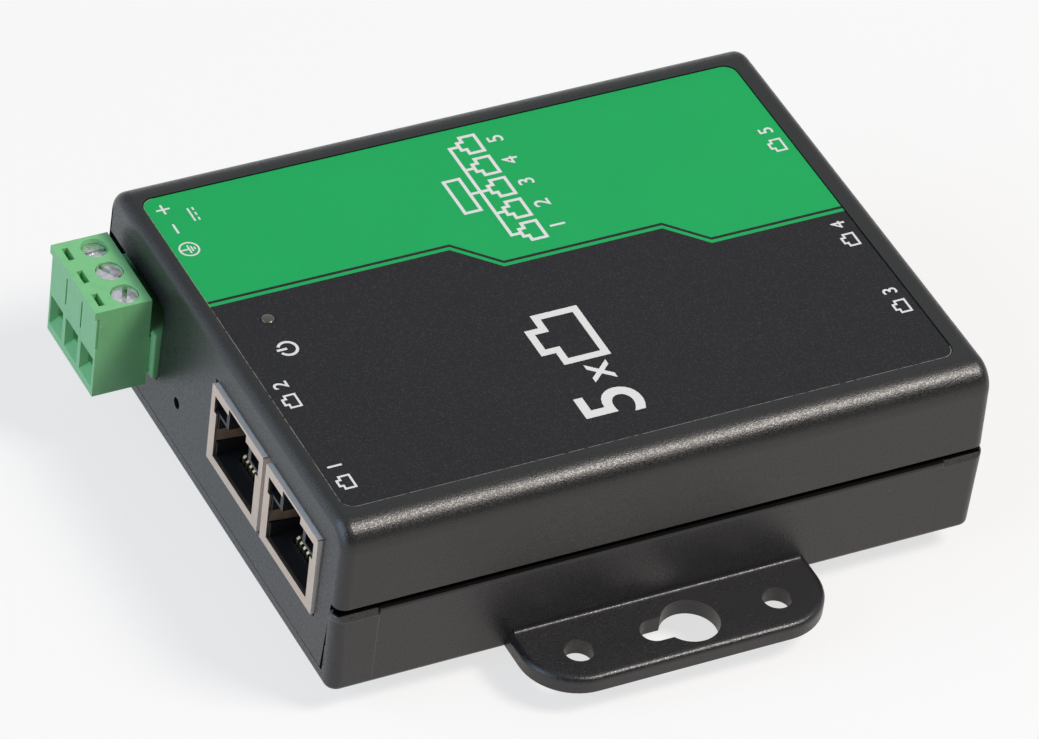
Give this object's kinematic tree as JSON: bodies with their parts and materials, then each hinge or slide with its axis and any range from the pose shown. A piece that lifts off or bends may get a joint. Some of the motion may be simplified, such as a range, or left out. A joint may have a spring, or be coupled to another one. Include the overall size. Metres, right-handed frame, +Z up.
{
  "type": "din rail ethernet switch",
  "caption": "Low flat network switch: two-part plastic case with screw ears, shielded jacks at both ends, a pull-off power terminal and a rail clip below.",
  "frame": {"origin": "centre of the flat underside of the base and ears, midway between the four wall screw holes", "axes": "+Z up out of the labelled roof, X along the long side with the two-jack and power end at -X, Y across to the ears"},
  "size_m": [0.1077, 0.1004, 0.0323],
  "materials": {
    "housing": "fine satin texture",
    "label_print": "printed film, satin",
    "light_pipe": "frosted clear",
    "board": "solder resist",
    "moulded_component": "moulded epoxy",
    "component_can": "plain",
    "light_chip": "diffuse",
    "jack_shield": "nickel plated sheet",
    "jack_insert": "moulded",
    "contact_gold": "gold plated",
    "terminal_green": "moulded",
    "tinned_pin": "tinned",
    "contact_tin": "tinned brass",
    "screw_zinc": "zinc plated",
    "clamp_zinc": "zinc plated",
    "screw_black": "black zinc",
    "rail_clip": "moulded"
  },
  "bodies": {
    "housing": {"top_cover": "housing", "base_tray": "housing", "front_label": "label_print", "light_pipe": "light_pipe", "circuit_board": "board", "switch_chip": "moulded_component", "transformer_low": "moulded_component", "transformer_high": "moulded_component", "power_inductor": "moulded_component", "regulator_chip": "moulded_component", "crystal": "component_can", "input_capacitors": "component_can", "power_light": "light_chip", "jack_shield_1": "jack_shield", "jack_insert_1": "jack_insert", "jack_contacts_1": "contact_gold", "jack_shield_2": "jack_shield", "jack_insert_2": "jack_insert", "jack_contacts_2": "contact_gold", "jack_shield_3": "jack_shield", "jack_insert_3": "jack_insert", "jack_contacts_3": "contact_gold", "jack_shield_4": "jack_shield", "jack_insert_4": "jack_insert", "jack_contacts_4": "contact_gold", "jack_shield_5": "jack_shield", "jack_insert_5": "jack_insert", "jack_contacts_5": "contact_gold", "terminal_header": "terminal_green", "header_pins": "tinned_pin", "case_screws": "screw_black", "rail_clip": "rail_clip", "clip_screws": "screw_zinc"},
    "plug": {"terminal_plug": "terminal_green", "plug_contacts": "contact_tin"},
    "screw_1": {"terminal_screw_1": "screw_zinc"},
    "clamp_1": {"wire_clamp_1": "clamp_zinc"},
    "screw_2": {"terminal_screw_2": "screw_zinc"},
    "clamp_2": {"wire_clamp_2": "clamp_zinc"},
    "screw_3": {"terminal_screw_3": "screw_zinc"},
    "clamp_3": {"wire_clamp_3": "clamp_zinc"}
  },
  "joints": [
    {"name": "plug_pull", "type": "slide", "parent": "housing", "child": "plug", "axis": [-1, 0, 0], "range_m": [0, 0.0095]},
    {"name": "screw_turn_1", "type": "hinge", "parent": "plug", "child": "screw_1", "pos_m": [-0.053, 0.02232, 0.0198], "axis": [0, 0, -1], "range_deg": [0, 2521]},
    {"name": "clamp_rise_1", "type": "slide", "parent": "plug", "child": "clamp_1", "axis": [0, 0, 1], "range_m": [0, 0.0035]},
    {"name": "screw_turn_2", "type": "hinge", "parent": "plug", "child": "screw_2", "pos_m": [-0.053, 0.0274, 0.0198], "axis": [0, 0, -1], "range_deg": [0, 2521]},
    {"name": "clamp_rise_2", "type": "slide", "parent": "plug", "child": "clamp_2", "axis": [0, 0, 1], "range_m": [0, 0.0035]},
    {"name": "screw_turn_3", "type": "hinge", "parent": "plug", "child": "screw_3", "pos_m": [-0.053, 0.03248, 0.0198], "axis": [0, 0, -1], "range_deg": [0, 2521]},
    {"name": "clamp_rise_3", "type": "slide", "parent": "plug", "child": "clamp_3", "axis": [0, 0, 1], "range_m": [0, 0.0035]}
  ],
  "couplings": [
    {"joint": "screw_turn_1", "follows": "clamp_rise_1", "rad_per_m": 12566},
    {"joint": "screw_turn_2", "follows": "clamp_rise_2", "rad_per_m": 12566},
    {"joint": "screw_turn_3", "follows": "clamp_rise_3", "rad_per_m": 12566}
  ]
}
